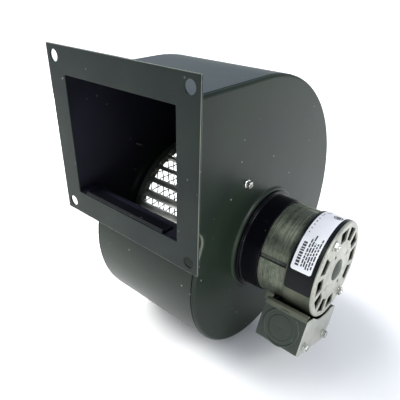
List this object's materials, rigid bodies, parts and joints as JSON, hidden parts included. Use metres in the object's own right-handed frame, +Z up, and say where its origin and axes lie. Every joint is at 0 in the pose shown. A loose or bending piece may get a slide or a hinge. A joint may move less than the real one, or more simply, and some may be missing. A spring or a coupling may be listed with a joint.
{
  "type": "combustion fan",
  "caption": "Centrifugal combustion fan with a flanged rectangular outlet, scroll housing, screened side inlet and a small electric motor that spins the blower wheel.",
  "frame": {"origin": "centre of the outlet flange's front face", "axes": "-Y is the direction the air leaves the outlet, +X runs along the shaft towards the motor, +Z is up"},
  "size_m": [0.2155, 0.2404, 0.2808],
  "materials": {
    "housing_paint": "satin black",
    "motor_paint": "gloss black",
    "screen_wire": "drawn wire",
    "plated_screw": "zinc plated",
    "lamination": "bare laminated steel",
    "insulation": "fish paper",
    "copper_wire": "enamelled copper",
    "copper": "bare copper",
    "lacing": "waxed cord",
    "plated_bell": "bright plated",
    "bronze": "sintered bronze",
    "felt": "oiled felt",
    "label_black": "black film",
    "label_white": "printed film",
    "plated_cover": "bright plated",
    "grommet_rubber": "moulded",
    "lead_jacket": "extruded jacket",
    "wire_nut": "moulded",
    "ground_green": "green dyed zinc",
    "shaft_steel": "ground",
    "rotor_aluminium": "die cast",
    "washer": "nylon",
    "galvanised": "galvanised",
    "black_oxide": "black oxide"
  },
  "bodies": {
    "root": {"outlet_flange": "housing_paint", "scroll_wrap": "housing_paint", "motor_side_plate": "housing_paint", "inlet_side_plate": "housing_paint", "cutoff_lip": "housing_paint", "inlet_ring": "housing_paint", "inlet_screen": "screen_wire", "screen_ring": "housing_paint", "screen_screws": "plated_screw", "side_screws": "plated_screw", "motor_mount_screws": "plated_screw", "motor_front_bell": "motor_paint", "stator_core": "lamination", "slot_liners": "insulation", "stator_coils": "copper_wire", "shading_rings": "copper", "coil_ties": "lacing", "rear_bell": "plated_bell", "front_bearing": "bronze", "rear_bearing": "bronze", "oil_felts": "felt", "felt_covers": "plated_bell", "rear_bearing_cap": "motor_paint", "through_bolts": "plated_screw", "through_bolt_nuts": "plated_screw", "label_band": "label_black", "rating_label": "label_white", "conduit_box": "housing_paint", "box_cover": "plated_cover", "cover_screws": "plated_screw", "knockout_plug": "housing_paint", "box_bracket": "lamination", "bracket_screws": "plated_screw", "lead_grommet": "grommet_rubber", "motor_leads": "lead_jacket", "wire_nuts": "wire_nut", "ground_screw": "ground_green"},
    "rotor": {"motor_shaft": "shaft_steel", "rotor_core": "lamination", "rotor_end_rings": "rotor_aluminium", "thrust_washers": "washer", "wheel_hub": "galvanised", "hub_set_screw": "black_oxide", "wheel_back_plate": "galvanised", "hub_rivets": "plated_screw", "wheel_blades": "galvanised", "wheel_inlet_ring": "galvanised"}
  },
  "joints": [
    {"name": "wheel_spin", "type": "hinge", "parent": "root", "child": "rotor", "pos_m": [0, 0.115, -0.101], "axis": [1, 0, 0], "continuous": true}
  ]
}
